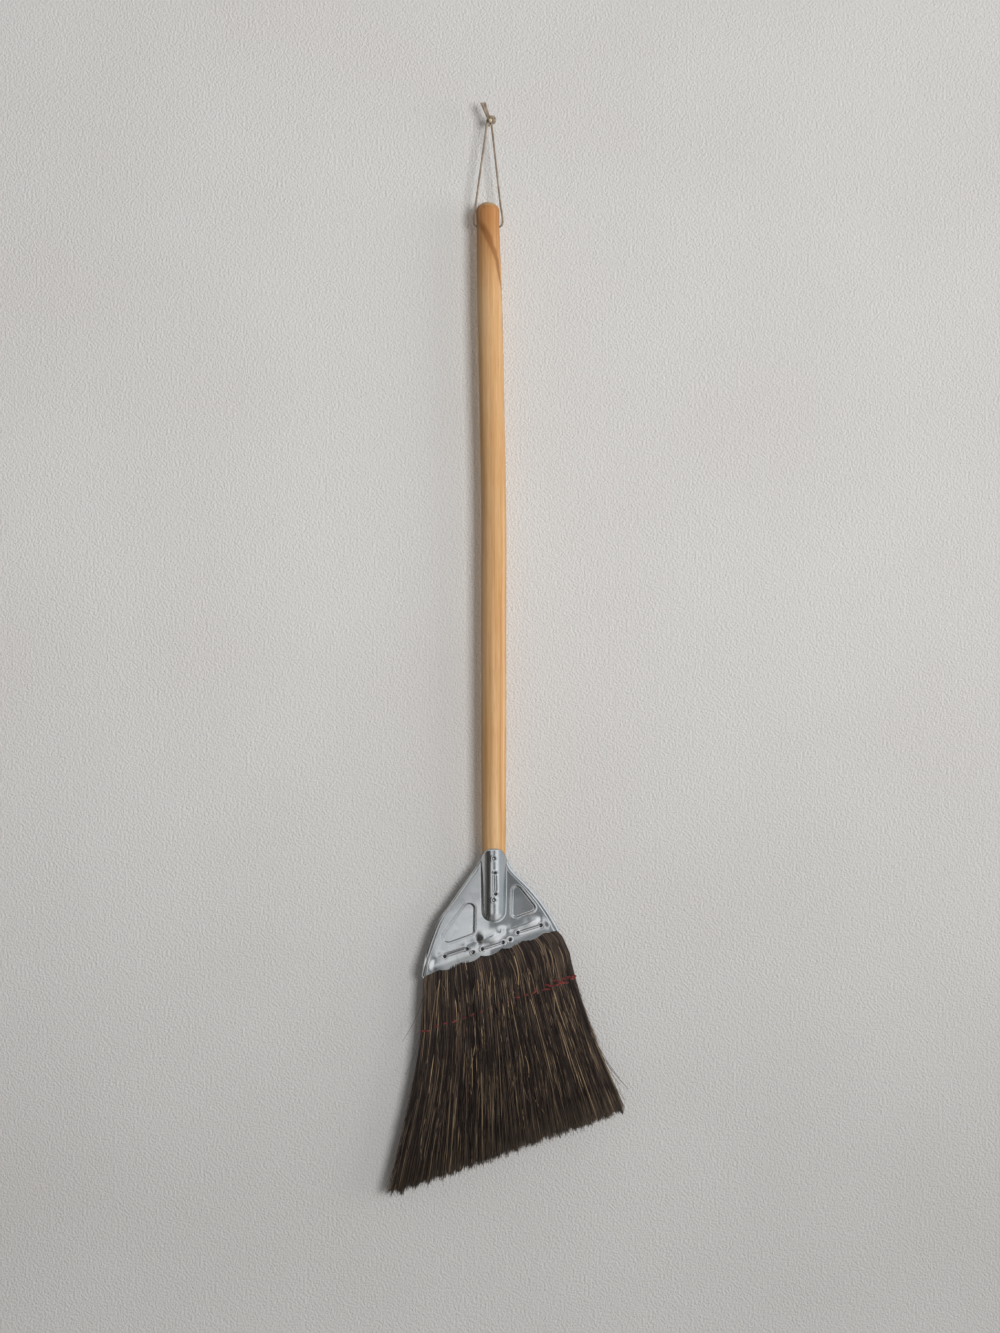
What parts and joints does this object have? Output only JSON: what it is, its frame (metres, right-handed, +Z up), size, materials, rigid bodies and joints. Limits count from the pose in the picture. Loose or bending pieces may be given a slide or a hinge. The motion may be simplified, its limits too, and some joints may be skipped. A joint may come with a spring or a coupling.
{
  "type": "hand broom",
  "caption": "Short hand broom on a twine loop: round wooden handle, pressed steel cap in two shells, slanted dark palm fibre head with one row of red stitching.",
  "frame": {"origin": "top of the hanging loop, where it bears on the nail", "axes": "+Z up along the hanging broom, +X to the viewer's right, -Y towards the viewer, away from the wall"},
  "size_m": [0.1942, 0.026, 0.9368],
  "materials": {
    "pine": "sanded, thin clear coat",
    "galvanised_sheet": "galvanised, slightly dented",
    "galvanised_wire": "galvanised wire",
    "steel_nail": "plain steel",
    "palm_fibre": "stiff dark brown fibre",
    "red_thread": "twisted cotton thread",
    "hemp_twine": "two-ply twine"
  },
  "bodies": {
    "hanging_cord": {"cord_loop": "hemp_twine", "cord_knot": "hemp_twine", "cord_tail_left": "hemp_twine", "cord_tail_right": "hemp_twine"},
    "broom": {"handle": "pine", "front_shell": "galvanised_sheet", "back_shell": "galvanised_sheet", "socket_nail_upper": "steel_nail", "socket_nail_lower": "steel_nail", "mouth_rivet_left": "steel_nail", "mouth_rivet_right": "steel_nail", "mouth_staple_left": "galvanised_wire", "mouth_staple_middle": "galvanised_wire", "mouth_staple_right": "galvanised_wire", "socket_staple": "galvanised_wire", "fibre_butt_1": "palm_fibre", "fibre_butt_2": "palm_fibre", "fibre_butt_3": "palm_fibre", "fibre_butt_4": "palm_fibre", "fibre_butt_5": "palm_fibre"},
    "bristles": {"fibre_hank_1": "palm_fibre", "fibre_hank_2": "palm_fibre", "fibre_hank_3": "palm_fibre", "fibre_hank_4": "palm_fibre", "fibre_hank_5": "palm_fibre", "stitching": "red_thread"}
  },
  "joints": [
    {"name": "cord_swing", "type": "hinge", "parent": "hanging_cord", "child": "broom", "pos_m": [-0.0013, 0, -0.0898], "axis": [1, 0, 0], "range_deg": [-120, 120]},
    {"name": "bristle_flex", "type": "hinge", "parent": "broom", "child": "bristles", "pos_m": [0.00348, 0, -0.72052], "axis": [0.9421, 0, 0.3355], "range_deg": [-25, 25], "stiffness_Nm_per_rad": 3}
  ]
}
